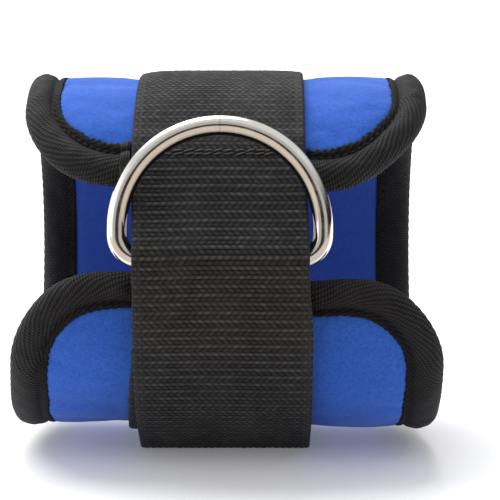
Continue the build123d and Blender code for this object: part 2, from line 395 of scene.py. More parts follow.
def make_webbing():
    """Black woven nylon. The mesh carries the weave's relief, 0 in the gaps and 1 on the yarns."""
    n = Nodes("webbing")
    relief = n.node("ShaderNodeAttribute", attribute_name="weave").outputs["Fac"]
    fibre = n.noise(2600.0, 3.0, 0.65)
    wear = n.noise(90.0, 4.0, 0.6)
    # The colour follows the relief, dark in the gaps and light on the yarn crests: painted shade and
    # painted highlight. The wear noise is the webbing's own uneven tone.
    shade = n.math("MULTIPLY", relief, n.math("ADD", n.math("MULTIPLY", fibre, 0.5), 0.75))
    shade = n.math("ADD", shade, n.math("MULTIPLY", n.math("SUBTRACT", wear, 0.5), 0.25))
    base = n.ramp(shade, (0.10, (0.0085, 0.0086, 0.0090)), (0.60, (0.0400, 0.0405, 0.0415)),
                  (1.0, (0.094, 0.096, 0.099)))
    normal = n.bump(fibre, 0.00010, 0.7)
    rough = n.ramp(shade, (0.2, (0.85,) * 3), (0.9, (0.48,) * 3))
    return n.set(Base_Color=base, Roughness=rough, Normal=normal, Specular_IOR_Level=0.12)


def make_thread(name, colour, rough):
    n = Nodes(name)
    twist = n.noise(1500.0, 2.0, 0.5)
    base = n.ramp(twist, (0.3, tuple(c * 0.5 for c in colour)), (0.7, colour))
    return n.set(Base_Color=base, Roughness=rough, Normal=n.bump(twist, 0.00008, 0.8),
                 Sheen_Weight=0.05, Specular_IOR_Level=0.3)


def make_chrome():
    """Bright plating, with painted shade on the inside of the D: a dull dark brown standing in for the
    shade and dark reflections there. Its uv runs round the wire from the outside, and along it from the
    weld, in millimetres."""
    n = Nodes("plated_ring")
    around, along = n.uv()
    scuff = n.noise(240.0, 5.0, 0.65)
    fine = n.noise(2400.0, 2.0, 0.6)
    rough = n.ramp(scuff, (0.35, (0.09,) * 3), (0.75, (0.22,) * 3))
    base = n.ramp(scuff, (0.3, (0.66, 0.645, 0.61)), (0.8, (0.76, 0.745, 0.71)))
    # painted shade: the inside of the D is darkened to a dull brown
    from_inside = n.math("ABSOLUTE", n.math("SUBTRACT", around, math.pi * WIRE))
    painted_inner_shade = n.ramp(n.math("DIVIDE", from_inside, 4.0), (0.50, (0.85,) * 3), (0.72, (0.0,) * 3))
    base = n.mix(painted_inner_shade, base, (0.085, 0.058, 0.040))
    weld = n.ramp(n.math("ABSOLUTE", along), (0.10, (0.3,) * 3), (0.35, (0.0,) * 3))
    base = n.mix(weld, base, (0.12, 0.10, 0.08))
    return n.set(Base_Color=base, Roughness=rough, Metallic=1.0,
                 Normal=n.bump(fine, 0.00001, 0.25))


def make_pile(name, colour, scale):
    """Matt fuzz of hook or loop tape."""
    n = Nodes(name)
    fuzz = n.noise(scale, 3.0, 0.7)
    base = n.ramp(fuzz, (0.3, tuple(c * 0.3 for c in colour)), (0.7, colour))
    return n.set(Base_Color=base, Roughness=0.95, Normal=n.bump(fuzz, 0.0005, 1.0),
                 Sheen_Weight=0.4, Specular_IOR_Level=0.2)


COVER = make_cover("cover_fabric", (0.041, 0.156, 0.670), (0.015, 0.071, 0.402))
# The lining is the cover's blue, set darker as painted shade for the cuff's dim inside.
SHADED_LINING = make_cover("lining_fabric", (0.036, 0.096, 0.470), (0.018, 0.057, 0.320))
BINDING = make_binding()
WEBBING = make_webbing()
THREAD = make_thread("seam_thread", (0.008, 0.008, 0.009), 0.6)
BRIGHT_THREAD = make_thread("anchor_thread", (0.085, 0.085, 0.090), 0.35)
CHROME = make_chrome()
LOOP_PILE = make_pile("loop_pile", (0.030, 0.030, 0.032), 1600.0)
HOOK_PILE = make_pile("hook_tape", (0.022, 0.022, 0.024), 1100.0)


# ---------------------------------------------------------------- pad

def outline_half_width(s, inset):
    """Half the pad's width at s, for an outline inset by this much."""
    c = CORNER - inset
    from_tip = np.minimum(s, LENGTH - s) - inset
    t = np.clip((c - from_tip) / c, 0, 1)
    return HALF_W - inset - c + c * np.sqrt(1 - t * t)


def lip_narrowing(s):
    """How much narrower than drawn the binding's lip is: along the flaps' sides, and at the lower end."""
    return ease(s, (4, 0.0), (26, 1.5), (110, 0.0), (200, 0.0), (250, 1.2), (LENGTH - 5, 1.6))


def sewn_centre(angle):
    """Where the sewn webbing's middle lies across the pad: it drifts aside under the lower flap."""
    return ease(angle, (38, -1.45), (90, -1.2), (180, -1.7), (240, -2.6), (282, -4.9), (300, -4.15),
                (313, -3.4), (322, -2.7), (333, -1.7))


def from_webbing(x, s):
    """Distance across the pad from the sewn webbing's middle."""
    return np.abs(x - sewn_centre(31 + np.degrees(s / R_OUT)))


def pressed_by_webbing(x, s):
    """1 where the webbing holds the cover down, falling to 0 clear of its edges."""
    return np.exp(-(np.maximum(from_webbing(x, s) - STRAP_HALF, 0) / 2.6) ** 2)


def simulated_relief():
    """How full the cover is, 0 to 1, on an even grid from a cloth simulation.

    The cover is laid flat, several times its size, pinned outside its seam and under the webbing,
    and blown up. The rise is flattened, so that it is fuller near its edges than the cloth's own.
    """
    rows, cols = 154, 59
    scale = 5.0
    frames = 20
    s, x = np.meshgrid(np.linspace(0, LENGTH, rows), np.linspace(-HALF_W, HALF_W, cols), indexing="ij")
    flat = np.stack([x, s, 0.05 * np.sin(x * 1.9 + s * 0.7)], -1).reshape(-1, 3)
    quads, _, _ = grid_quads(rows, cols)
    cloth = mesh_object("cover_cloth", flat * scale, quads)
    d, p = edge_distance(x, s)
    stitch = 0.5 * np.cos(2 * np.pi * p / (2 * SEAM_PITCH))
    held = (d + lip_narrowing(s) + stitch < 8.2) | (from_webbing(x, s) < STRAP_HALF)
    pins = cloth.vertex_groups.new(name="pins")
    pins.add([int(i) for i in np.flatnonzero(held.ravel())], 1.0, "REPLACE")
    modifier = cloth.modifiers.new("cloth", "CLOTH")
    settings = modifier.settings
    settings.quality = 6
    settings.mass = 0.3
    settings.vertex_group_mass = "pins"
    settings.effector_weights.gravity = 0.0
    settings.use_pressure = True
    settings.uniform_pressure_force = 4.0
    settings.shrink_min = -0.035
    settings.tension_stiffness = 15.0
    settings.compression_stiffness = 15.0
    settings.bending_stiffness = 0.6
    modifier.collision_settings.use_collision = False
    scene = bpy.context.scene
    for number in range(1, frames + 1):
        scene.frame_set(number)
    made = cloth.evaluated_get(bpy.context.evaluated_depsgraph_get()).to_mesh()
    points = np.empty(len(made.vertices) * 3)
    made.vertices.foreach_get("co", points)
    scene.frame_set(1)
    bpy.data.objects.remove(cloth)
    rise = flat.reshape(rows, cols, 3)[..., 2] * scale * MM - points.reshape(rows, cols, 3)[..., 2]
    return np.clip(rise / np.percentile(rise, 96), 0.0, 1.2) ** 0.6


def look_up(grid, x, s):
    """The grid's value at each (x, s), blended between its nearest four points."""
    i = np.clip(s / LENGTH, 0, 0.99999) * (grid.shape[0] - 1)
    j = np.clip((x / HALF_W + 1) / 2, 0, 0.99999) * (grid.shape[1] - 1)
    a, b = i.astype(int), j.astype(int)
    u, v = i - a, j - b
    low = grid[a, b] * (1 - v) + grid[a, b + 1] * v
    high = grid[a + 1, b] * (1 - v) + grid[a + 1, b + 1] * v
    return low * (1 - u) + high * u


def cover_height(x, s, relief):
    """How far the cover stands off its plain cylinder."""
    d, p = edge_distance(x, s)
    d = d + lip_narrowing(s)
    clear = smooth((d - 8.0) / 3.5)
    h = -1.5 + 0.85 * clear + 1.4 * relief * clear
    h = h - 0.6 * np.exp(-((from_webbing(x, s) - 30) / 9) ** 2 - ((s - 222) / 22) ** 2)
    h = h + 0.13 * np.cos(2 * np.pi * p / 3.1) * np.exp(-np.maximum(d - 10, 0) / 2.2)
    press = pressed_by_webbing(x, s)
    under = 0.1 + 1.1 * smooth((from_webbing(x, s) - STRAP_HALF + 9.0) / 8.0)
    held = np.minimum(-0.05 * under, 1.15 - under) - 1.4 * (1 - clear)
    return h * (1 - press) + held * press


def lining_height(x, s):
    """How far the lining stands off the same cylinder, inwards."""
    d, _ = edge_distance(x, s)
    h = 0.55 - 0.75 * smooth((d - 6.5) / 7.0)
    h = h + 0.10 * np.sin(s / 13.0) * np.sin(x / 12.0 + 0.5)
    return -PAD_THICK + h


def build_pad():
    """The padded sheet as one closed form: cover outside, lining inside."""
    inset = 3.0
    rows, cols = 230, 96
    s = np.linspace(inset, LENGTH - inset, rows)
    t = np.linspace(-1, 1, cols)
    half = outline_half_width(s, inset)
    x = half[:, None] * t[None, :]
    along = np.repeat(s[:, None], cols, 1)
    relief = look_up(simulated_relief(), x, along)
    outer = wrap(x, along, cover_height(x, along, relief))
    inner = wrap(x, along, lining_height(x, along))
    n = rows * cols
    points = np.concatenate([outer.reshape(-1, 3), inner.reshape(-1, 3)])
    quads, _, _ = grid_quads(rows, cols)
    flip = quads[:, ::-1] + n
    uv_all = np.stack([x, along], -1).reshape(-1, 2)
    border = []
    ring = [(0, j) for j in range(cols)] + [(i, cols - 1) for i in range(1, rows)]
    ring += [(rows - 1, j) for j in range(cols - 2, -1, -1)] + [(i, 0) for i in range(rows - 2, 0, -1)]
    for k, (i, j) in enumerate(ring):
        i2, j2 = ring[(k + 1) % len(ring)]
        a, b = i * cols + j, i2 * cols + j2
        border.append((a, b, b + n, a + n))
    border = np.array(border)[:, ::-1]
    all_quads = np.concatenate([quads, flip, border])
    uv = uv_all[all_quads % n]
    index = np.concatenate([np.zeros(len(quads)), np.ones(len(flip)), np.zeros(len(border))])
    pad = mesh_object("pad", points, all_quads, uv, [COVER, SHADED_LINING], index)
    outward(pad)
    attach(pad, "cuff")
    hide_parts("outer_cover", "foam_core", "inner_lining")


# ---------------------------------------------------------------- binding

def outline(step):
    """Points along the pad's edge, their inward normals, and how straight the edge is there."""
    hw, hl = HALF_W, LENGTH / 2
    pieces = []
    x0, s0 = hw - CORNER, hl - CORNER

    def line(a, b, n, kind):
        a, b = np.array(a, float), np.array(b, float)
        count = max(1, int(round(np.linalg.norm(b - a) / step)))
        for i in range(count):
            pieces.append((*(a + (b - a) * i / count), *n, kind))

    def bend(cx, cs, a0):
        count = int(round(CORNER * math.pi / 2 / step))
        for i in range(count):
            a = a0 + math.pi / 2 * i / count
            pieces.append((cx + CORNER * math.cos(a), cs + CORNER * math.sin(a),
                           -math.cos(a), -math.sin(a), 0.0))

    line((hw, -s0), (hw, s0), (-1, 0), 1.0)
    bend(x0, s0, 0.0)
    line((x0, hl), (-x0, hl), (0, -1), 0.0)
    bend(-x0, s0, math.pi / 2)
    line((-hw, s0), (-hw, -s0), (1, 0), 1.0)
    bend(-x0, -s0, math.pi)
    line((-x0, -hl), (x0, -hl), (0, 1), 0.0)
    bend(x0, -s0, 1.5 * math.pi)
    made = np.array(pieces)
    made[:, 1] += hl
    return made


# The folded tape's cross-section as (in from the pad's edge, above the cover), round from its lip
SECTION = np.array([
    (10.9, -1.3), (10.9, -0.55), (10.7, 0.10), (10.0, 0.32), (9.2, 0.25), (8.5, -0.15), (8.0, -0.42),
    (7.5, -0.15), (6.7, 0.55), (5.6, 1.05), (4.2, 1.35), (2.8, 1.30), (1.4, 0.92), (0.2, 0.15),
    (-0.7, -1.0), (-1.15, -2.3), (-1.2, -3.5), (-1.1, -4.6), (-0.7, -5.7), (0.1, -6.7),
    (1.3, -7.35), (2.8, -7.6), (4.4, -7.45), (5.8, -7.1), (6.9, -6.75), (7.7, -6.45), (8.3, -6.7),
    (9.0, -6.95), (9.6, -6.85), (9.8, -6.4), (9.6, -5.6), (8.6, -4.4), (8.6, -2.6),
])


def closed_spline(points, per):
    """A closed Catmull-Rom curve through the points."""
    n = len(points)
    out = []
    for i in range(n):
        p0, p1, p2, p3 = (points[(i + k - 1) % n] for k in range(4))
        for j in range(per):
            t = j / per
            out.append(0.5 * ((2 * p1) + (p2 - p0) * t + (2 * p0 - 5 * p1 + 4 * p2 - p3) * t * t
                              + (3 * p1 - p0 - 3 * p2 + p3) * t ** 3))
    return np.array(out)


def build_binding():
    """The tape folded over the pad's whole edge, swept along it with its creases."""
    edge = outline(0.9)
    section = closed_spline(SECTION, 2)
    sec_len = np.concatenate([[0], np.cumsum(np.linalg.norm(
        np.diff(np.vstack([section, section[:1]]), axis=0), axis=1))])
    n, m = len(edge), len(section)
    run = np.concatenate([[0], np.cumsum(np.linalg.norm(
        np.diff(np.vstack([edge[:, :2], edge[:1, :2]]), axis=0), axis=1))])
    p = run[:-1, None]
    d = np.repeat(section[None, :, 0], n, 0)
    h = np.repeat(section[None, :, 1], n, 0)
    x0, s0 = edge[:, 0][:, None], edge[:, 1][:, None]
    # the seam pulls the lip in at each stitch, and the roll swells a little between
    tip = np.clip(s0 + edge[:, 3][:, None] * 5, 0, LENGTH)
    d = np.where(d > 3, 3 + (d - 3) * (1 - lip_narrowing(tip) / 7.6), d)
    pull = np.cos(2 * np.pi * p / SEAM_PITCH + 0.5 * np.sin(p / 6.0)) * (1 + 0.35 * np.sin(p / 5.1))
    lip = np.exp(-((d - 10.4) / 1.2) ** 2) * (h > -3)
    d = d + 0.38 * pull * lip + 0.26 * np.sin(p / 2.1 + 2.0 * np.sin(p / 7.7)) * lip
    d = d - 0.07 * pull * np.exp(-((h + 3.4) / 3.0) ** 2) * (d < 3)
    h = h + 0.9 * lip * ease(s0, (0, 0.2), (35, 1.0), (90, 0.0))
    roll = np.exp(-((d - 3.0) / 3.2) ** 2)
    slow = 0.26 * np.sin(p / 9.0 + 0.4) + 0.20 * np.sin(p / 4.3 + 1.9 + d / 5.0)
    slow = slow + 0.12 * np.sin(p / 1.7 + d / 1.8)
    slow = slow + 0.08 * np.sin(p / 1.05 - d / 1.3 + 2.0 * np.sin(p / 9.0))
    h = h + np.sign(h + MID_DEPTH) * roll * slow
    seam = np.exp(-((d - 8.0) / 0.9) ** 2)
    h = h - np.sign(h + MID_DEPTH) * seam * 0.12 * pull
    # the webbing squeezes it flat where it crosses the two flaps' ends
    under = smooth((STRAP_HALF + 2.0 - np.abs(x0 - STRAP_X)) / 3.5)
    under = under * ((s0 < 2) | (s0 > LENGTH - 2))
    flat = np.where(h > -MID_DEPTH, np.minimum(h, 0.72), h)
    h = h * (1 - under) + flat * under
    x = x0 + edge[:, 2][:, None] * d
    s = s0 + edge[:, 3][:, None] * d
    points = wrap(x, s, h)
    straight = 0.75 + edge[:, 4] * 1.6
    for _ in range(12):
        straight = (np.roll(straight, 1) + straight + np.roll(straight, -1)) / 3
    skew = np.concatenate([[0], np.cumsum(straight * 0.55 * np.diff(run))])
    quads, rows, cols = grid_quads(n, m, True, True)
    uv = np.stack([sec_len[cols] + skew[rows], run[rows]], -1)
    binding = mesh_object("binding", points.reshape(-1, 3), quads, uv, BINDING)
    # painted shade along the tape's seam and lip, read by the binding material
    painted_lip_shade = smooth((d - 6.6) / 1.4) * (0.75 + 0.25 * np.sin(p / 4.1) * np.sin(p / 1.9))
    layer = binding.data.attributes.new("painted_lip_shade", "FLOAT", "POINT")
    layer.data.foreach_set("value", painted_lip_shade.ravel().astype(np.float32))
    outward(binding)
    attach(binding, "cuff")
    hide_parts("edge_binding")


STITCH_SIDES = 8
STITCH_RINGS = 6


def capsule_rings(a, b, up, radius, arch):
    """Points of one stitch: a rounded bar from a to b that bows outwards by arch."""
    along = b - a
    length = np.linalg.norm(along)
    along = along / length
    up = up - along * np.dot(up, along)
    up = up / np.linalg.norm(up)
    side = np.cross(along, up)
    out = []
    for i in range(STITCH_RINGS + 1):
        t = i / STITCH_RINGS
        width = radius * math.sin(math.pi * (0.06 + 0.88 * t)) ** 0.45
        centre = a + along * length * t + up * arch * math.sin(math.pi * t)
        for k in range(STITCH_SIDES):
            q = 2 * math.pi * k / STITCH_SIDES
            out.append(centre + (up * math.cos(q) + side * math.sin(q)) * width)
    return np.array(out)


def stitch_object(name, stitches, radius, material, arch):
    """Many stitches in one mesh. Each is (start, end, outward)."""
    points, quads = [], []
    base = 0
    per, _, _ = grid_quads(STITCH_RINGS + 1, STITCH_SIDES, False, True)
    for a, b, up in stitches:
        pts = capsule_rings(np.array(a), np.array(b), np.array(up, float), radius, arch)
        points.append(pts)
        quads.append(per + base)
        for first in (base, base + STITCH_RINGS * STITCH_SIDES):
            ring = [first + k for k in range(STITCH_SIDES)]
            for k in range(1, STITCH_SIDES - 2, 2):
                quads.append(np.array([[ring[0], ring[k], ring[k + 1], ring[k + 2]]]))
        base += len(pts)
    obj = mesh_object(name, np.vstack(points), np.vstack(quads), None, material)
    return outward(obj)


def build_binding_stitches():
    """The tape's seam: a row on the cover, left out under the webbing, and a whole row on the lining."""
    edge = outline(SEAM_PITCH)
    stitches = []
    for face, inset, level in ((1, 8.0, -0.30), (-1, 7.7, -6.42)):
        for k in range(len(edge)):
            x, s, nx, ns, _ = edge[k]
            x2, s2, nx2, ns2, _ = edge[(k + 1) % len(edge)]
            mid_x, mid_s = x + nx * inset, s + ns * inset
            end_x, end_s = x2 + nx2 * inset, s2 + ns2 * inset
            hidden = abs(mid_x - STRAP_X) < STRAP_HALF + 0.6 and (s < 12 or s > LENGTH - 12)
            if face > 0 and hidden:
                continue
            a = wrap(mid_x * 0.86 + end_x * 0.14, mid_s * 0.86 + end_s * 0.14, level)
            b = wrap(mid_x * 0.14 + end_x * 0.86, mid_s * 0.14 + end_s * 0.86, level)
            up = wrap(mid_x, mid_s, level + face) - wrap(mid_x, mid_s, level)
            stitches.append((a, b, up))
    obj = stitch_object("binding_stitches", stitches, 0.27, THREAD, 0.10)
    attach(obj, "cuff")
    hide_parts("binding_stitching")


def build_tab():
    """The tape's overlap: a second layer of tape folded over the upper flap's edge."""
    low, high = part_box("binding_end_tab")
    x_mid = (low.x + high.x) / 2 / MM
    lip_to_lip = slice(2, 29)
    section = SECTION[lip_to_lip]
    before = np.vstack([section[:1], section[:-1]])
    after = np.vstack([section[1:], section[-1:]])
    along = after - before
    along /= np.linalg.norm(along, axis=1)[:, None]
    away = np.stack([along[:, 1], -along[:, 0]], 1)
    xs = np.linspace(-1.8, 1.8, 13)
    rows = []
    for x in xs:
        rise = 0.25 + 1.35 * (1 - (x / 1.85) ** 4)
        outer = section + away * rise * (1 + 0.12 * math.sin(2.2 * x))
        outer[:, 1] = np.minimum(outer[:, 1], 2.4)
        loop = np.vstack([outer, section[::-1] * 0.999])
        rows.append(wrap(np.full(len(loop), x_mid + x), loop[:, 0], loop[:, 1]))
    points = np.array(rows)
    m = points.shape[1]
    tab = loft("binding_tab", points, xs, np.arange(m + 1) * 0.5, BINDING, caps=True)
    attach(tab, "cuff")
    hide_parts("binding_end_tab")


# ---------------------------------------------------------------- straps

def weave(across, along):
    """Relief of the webbing's face, 0 to 1: rows of short slanted yarns. Over the stretch that passes
    the bar and hangs below it, each second row stands prouder."""
    along = along + 0.10 * np.sin(across / 6.1 + 0.7) + 0.16 * np.sin(across / 17.0 + along / 23.0)
    row = along / ROW
    index = np.floor(row)
    inside = row - index
    lean = np.where(np.mod(index, 4) < 2, 1.0, -1.0)
    cell = across / CELL + 0.5 * np.mod(index, 2) + lean * 0.42 * (inside - 0.5)
    yarn = np.abs(np.sin(np.pi * cell)) ** 0.7
    ridge = np.sin(np.pi * inside) ** 0.55
    even = np.mod(index, 2) < 1
    zone = 0.5 + 0.5 * np.sin(along / 14.0 + 0.6 + 0.5 * np.sin(across / 15.0))
    bent_from, bent_to = 278, 366
    bent = smooth((along - bent_from) / 10) * smooth((bent_to - along) / 16)
    proud = np.where(even, 0.88 + 0.12 * bent, 0.82 - 0.10 * bent - 0.10 * zone)
    depth = np.where(even, 0.82 - 0.15 * bent - 0.15 * zone, 0.88)
    chance = np.sin(index * 12.9898 + np.floor(cell) * 78.233) * 43758.5453
    uneven = 1.0 - 0.28 * (chance - np.floor(chance))
    return ridge * (1 - depth + depth * yarn) * proud * uneven


def strap_section(half, thick, face, back):
    """A flat strap's cross-section as (across, out) points, with rounded selvages."""
    rows = []
    for count, side in ((face, 1), (back, -1)):
        w = np.linspace(-1, 1, count) * side
        edge = np.clip((np.abs(w) - 0.963) / 0.037, 0, 1)
        rows.append(np.stack([w * half, side * thick / 2 * np.sqrt(1 - 0.9 * edge ** 2)], 1))
    return np.vstack(rows)


def build_strap(name, path, half, thick, centre, step=ROW / 3, start=0.0, face=124, back=36, droop=None):
    """A webbing strap swept along a side-view path. centre and droop depend on the angle round the cuff.

    It never goes below the floor.
    """
    floor = 0.02
    line, normal, at = resample(path, step)
    at = start + np.arange(len(at)) * step
    section = strap_section(1.0, thick, face, back)
    angle = np.degrees(np.arctan2(line[:, 1], line[:, 0])) % 360
    angle = np.where(angle > 345 if angle[0] > 300 else angle > 200, angle - 360, angle)
    half = half(angle)[:, None] if callable(half) else half
    w = section[:, 0][None, :] * half
    z = section[:, 1][None, :] + 0 * w
    ends = np.clip(np.minimum(at - at[0], at[-1] - at) / 0.5, 0, 1)[:, None] ** 0.5
    relief = weave(w + 200, at[:, None] + (z < 0) * 0.6)
    selvage = smooth((np.abs(w) - (half - 3.0)) / 0.6)
    cord = 0.60 + 0.25 * np.cos(2 * np.pi * (half - np.abs(w)) / 1.05)
    relief = relief * (1 - 0.3 * selvage) + 0.3 * selvage * cord
    plain = np.clip((half - np.abs(w)) / 0.8, 0, 1)
    out = z * (0.55 + 0.45 * ends) + np.sign(z) * (relief - 0.6) * 0.42 * plain * ends
    if droop is not None:
        out = out - droop(angle)[:, None] * np.abs(w / half) ** 6 * np.where(w < 0, 1.0, 0.4)
    points = np.empty((len(line), len(section), 3))
    points[..., 0] = centre(angle)[:, None] + w
    points[..., 1] = AXIS_Y - (line[:, 0][:, None] + normal[:, 0][:, None] * out)
    points[..., 2] = np.maximum(AXIS_Z + (line[:, 1][:, None] + normal[:, 1][:, None] * out), floor)
    width = np.concatenate([section[:, 0], section[:1, 0]]) * STRAP_HALF
    obj = loft(name, points, at, width, WEBBING, caps=True)
    layer = obj.data.attributes.new("weave", "FLOAT", "POINT")
    layer.data.foreach_set("value", relief.ravel().astype(np.float32))
    return obj, at[-1]


def sewn_path():
    """Middle of the sewn webbing, from the lower flap round the back to the upper flap's anchor rows."""
    on_pad = R_OUT + WEB / 2
    on_tape = R_OUT + TAPE_TOP + WEB / 2
    path = arc((0, 0), on_pad, 336, 48)
    path += [polar(on_pad + TAPE_TOP * smooth((48 - a) / 5), a) for a in (47, 46, 45, 44, 43)]
    path += arc((0, 0), on_tape, 42.5, ANCHOR)
    return path


def closure_path():
    """Middle of the free webbing: from the anchor rows to the bar, round it and on to its end."""
    on_tape = R_OUT + TAPE_TOP + WEB / 2
    path = arc((0, 0), on_tape, ANCHOR, UP_LINE)
    first = polar(on_tape, UP_LINE)
    last = BAR + polar(STRAP_TURN, UP_LINE)
    path += [first + (last - first) * t for t in np.linspace(0.03, 1, 40)]
    path += arc(BAR, STRAP_TURN, UP_LINE, DOWN_LINE, 0.3)
    first = PIVOT
    last = polar(TAIL_R, TAIL_MEETS)
    bow = polar(1, TAIL_MEETS / 2)
    for t in np.linspace(0.02, 1, 60):
        path.append(first + (last - first) * t + bow * BULGE * math.sin(math.pi * t))
    path += under_path(0.0, TAIL_MEETS - 1)
    return path


def under_path(inset, start):
    """The free end's run under the cuff, this far inside its middle: round, then flat on the floor."""
    turn = 6.0
    leave = 60
    end = -22.0
    slope = math.radians(leave)
    front = (TAIL_R - turn) * (1 - math.sin(slope)) / math.cos(slope)
    path = arc((0, 0), TAIL_R - inset, start, -leave)
    path += arc((front, turn - TAIL_R), turn - inset, -leave, -90)
    path += [np.array([f, inset - TAIL_R]) for f in np.arange(front - 0.4, end + 3 * inset, -0.4)]
    return path


def sewn_droop(angle):
    """How far the sewn webbing's edges lie below its middle."""
    return ease(angle, (44, 0.0), (75, 1.3), (240, 1.3), (275, 0.5), (300, 0.4))


def free_half(angle):
    """Half the free webbing's width: it spreads a little below the bar."""
    return ease(-angle, (-38, STRAP_HALF), (-5, STRAP_HALF), (20, 25.4), (75, 25.5))


def free_centre(angle):
    """Where the free webbing's middle lies across the pad."""
    return ease(-angle, (-38, -1.45), (-5, -0.65), (20, -0.2), (80, -0.1))


def keeper_centre(angle):
    return np.full(angle.shape, -1.0)


def build_straps():
    """The sewn webbing, and the free webbing as one piece from the anchor rows, round the bar, to its end.
    """
    sewn, run = build_strap("webbing_sewn", sewn_path(), STRAP_HALF, WEB, sewn_centre, droop=sewn_droop)
    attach(sewn, "cuff")
    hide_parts("body_webbing")

    free, _ = build_strap("webbing_free", closure_path(), free_half, WEB, free_centre,
                          step=ROW / 4, start=run)
    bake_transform(free)
    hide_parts("strap_tail")


def build_keeper():
    """Webbing folded round the ring's bar, both legs sewn to the lower flap."""
    half = 19.0
    inner = R_OUT + WEB / 2
    outer = R_OUT + WEB * 1.5 + 0.05
    turn = WIRE + 0.1 + WEB / 2
    leaves_bar, meets_bar = 224, -6
    path = arc((0, 0), inner, -23.0, -13.0)
    path += [polar(inner + TAPE_TOP * smooth((a + 13) / 3), a) for a in (-12.5, -11.5, -10.5)]
    path += arc((0, 0), inner + TAPE_TOP, -10.0, -1.5)
    path += arc(BAR, turn, leaves_bar, meets_bar, 0.3)
    path += arc((0, 0), outer + TAPE_TOP, -1.5, -11.0)
    path += [polar(outer + TAPE_TOP * smooth((a + 14) / 3), a) for a in (-11.5, -12.5, -13.5)]
    path += arc((0, 0), outer, -14.0, -29.0)
    keeper, _ = build_strap("ring_keeper_cloth", path, half, WEB * 0.9, keeper_centre, face=90, back=30)
    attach(keeper, "cuff")
    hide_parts("ring_keeper")


def turn_points(middle, rise, radius, first, last, count):
    """Points on a round stretch of the D, without its last."""
    made = []
    for a in np.linspace(first, last, count, endpoint=False):
        q = math.radians(a)
        made.append((middle + radius * math.cos(q), rise + radius * math.sin(q)))
    return made


def build_ring():
    """The D-ring, swept from round wire, with its closed weld in the middle of the arch."""
    bar_points, bend_points, arch_points = 40, 26, 140
    bar_half = RING_HALF - RING_CORNER
    path = [(a, 0.0) for a in np.linspace(-bar_half, bar_half, bar_points, endpoint=False)]
    path += turn_points(bar_half, RING_CORNER, RING_CORNER, -90, 0, bend_points)
    path += turn_points(0.0, RING_RISE, RING_HALF, 0, 180, arch_points)
    path += turn_points(-bar_half, RING_CORNER, RING_CORNER, 180, 270, bend_points)
    path = np.array(path) - (0, RING_DROP)
    for _ in range(3):
        path = (np.roll(path, 1, 0) + path * 2 + np.roll(path, -1, 0)) / 4
    tangent = np.roll(path, -1, 0) - np.roll(path, 1, 0)
    tangent /= np.linalg.norm(tangent, axis=1)[:, None]
    out = np.stack([tangent[:, 1], -tangent[:, 0]], 1)
    sides = 40
    up = np.array([0, math.sin(RING_LEAN), math.cos(RING_LEAN)])
    across = np.array([1.0, 0, 0])
    depth = np.array([0, -math.cos(RING_LEAN), math.sin(RING_LEAN)])
    centre = side_point(RING_X, BAR)
    points = np.empty((len(path), sides, 3))
    step = np.linalg.norm(np.diff(np.vstack([path, path[:1]]), axis=0), axis=1)
    run = np.concatenate([[0], np.cumsum(step)])
    top = run[bar_points + bend_points + arch_points // 2]
    for i, (px, ph) in enumerate(path):
        bead = math.exp(-((run[i] - top) / 0.5) ** 2)
        radius = WIRE * (1 - 0.010 * bead)
        for k in range(sides):
            q = 2 * math.pi * k / sides
            flat = out[i] * math.cos(q) * radius
            points[i, k] = (centre + across * (px + flat[0]) + up * (ph + flat[1])
                            + depth * math.sin(q) * radius)
    ring = loft("d_ring_metal", points, run - top, np.linspace(0, 2 * math.pi * WIRE, sides + 1),
                CHROME, close_u=True)
    outward(ring)
    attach(ring, "ring")
    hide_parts("d_ring")


def row_of_stitches(radius, angle0, angle1, x0, x1, pitch, length):
    """Stitches along a line on the round, from (angle0, x0) to (angle1, x1)."""
    a0, a1 = math.radians(angle0), math.radians(angle1)
    total = math.hypot((a1 - a0) * radius, x1 - x0)
    count = int(total / pitch)
    made = []
    for i in range(count):
        pair = []
        for t in ((i + 0.5) / count - length / 2 / total, (i + 0.5) / count + length / 2 / total):
            a = a0 + (a1 - a0) * t
            x = x0 + (x1 - x0) * t
            pair.append(side_point(x, (radius * math.cos(a), radius * math.sin(a))))
        a = a0 + (a1 - a0) * (i + 0.5) / count
        made.append((pair[0], pair[1], (0, -math.cos(a), math.sin(a))))
    return made


def build_other_stitches():
    """The anchor rows, the keeper's three rows and the loop patch's border."""
    high = R_OUT + TAPE_TOP + WEB + 0.02
    bright = []
    for row, angle in enumerate((36.9, 38.1)):
        for k in range(15):
            x = STRAP_X - 21.5 + 2.9 * k + 0.35 * math.sin(5.1 * k + row)
            lean = 0.32 + 0.22 * math.sin(2.3 * k + 4.0 * row)
            bright += row_of_stitches(high, angle - lean, angle + lean, x, x + 3.1, 3.1, 2.9)
    obj = stitch_object("anchor_stitches", bright, 0.24, BRIGHT_THREAD, 0.12)
    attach(obj, "cuff")
    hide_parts("anchor_stitching")

    pitch, length = 3.0, 2.2
    on_keeper = R_OUT + 2 * WEB + 0.05
    keep = []
    for angle in (-15.0, -20.5, -27.5):
        keep += row_of_stitches(on_keeper, angle, angle, STRAP_X - 16.5, STRAP_X + 16.5, pitch, length)
    obj = stitch_object("keeper_stitches", keep, 0.24, THREAD, 0.12)
    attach(obj, "cuff")
    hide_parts("keeper_stitching")

    level = R_OUT + WEB + 1.1
    edge = []
    for x in (LOOP_X - 20.6, LOOP_X + 20.6):
        edge += row_of_stitches(level, -110, -35, x, x, pitch, length)
    for angle in (-110.0, -35.0):
        edge += row_of_stitches(level, angle, angle, LOOP_X - 20, LOOP_X + 20, pitch, length)
    obj = stitch_object("loop_stitches", edge, 0.16, THREAD, 0.04)
    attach(obj, "cuff")
    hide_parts("loop_stitching")


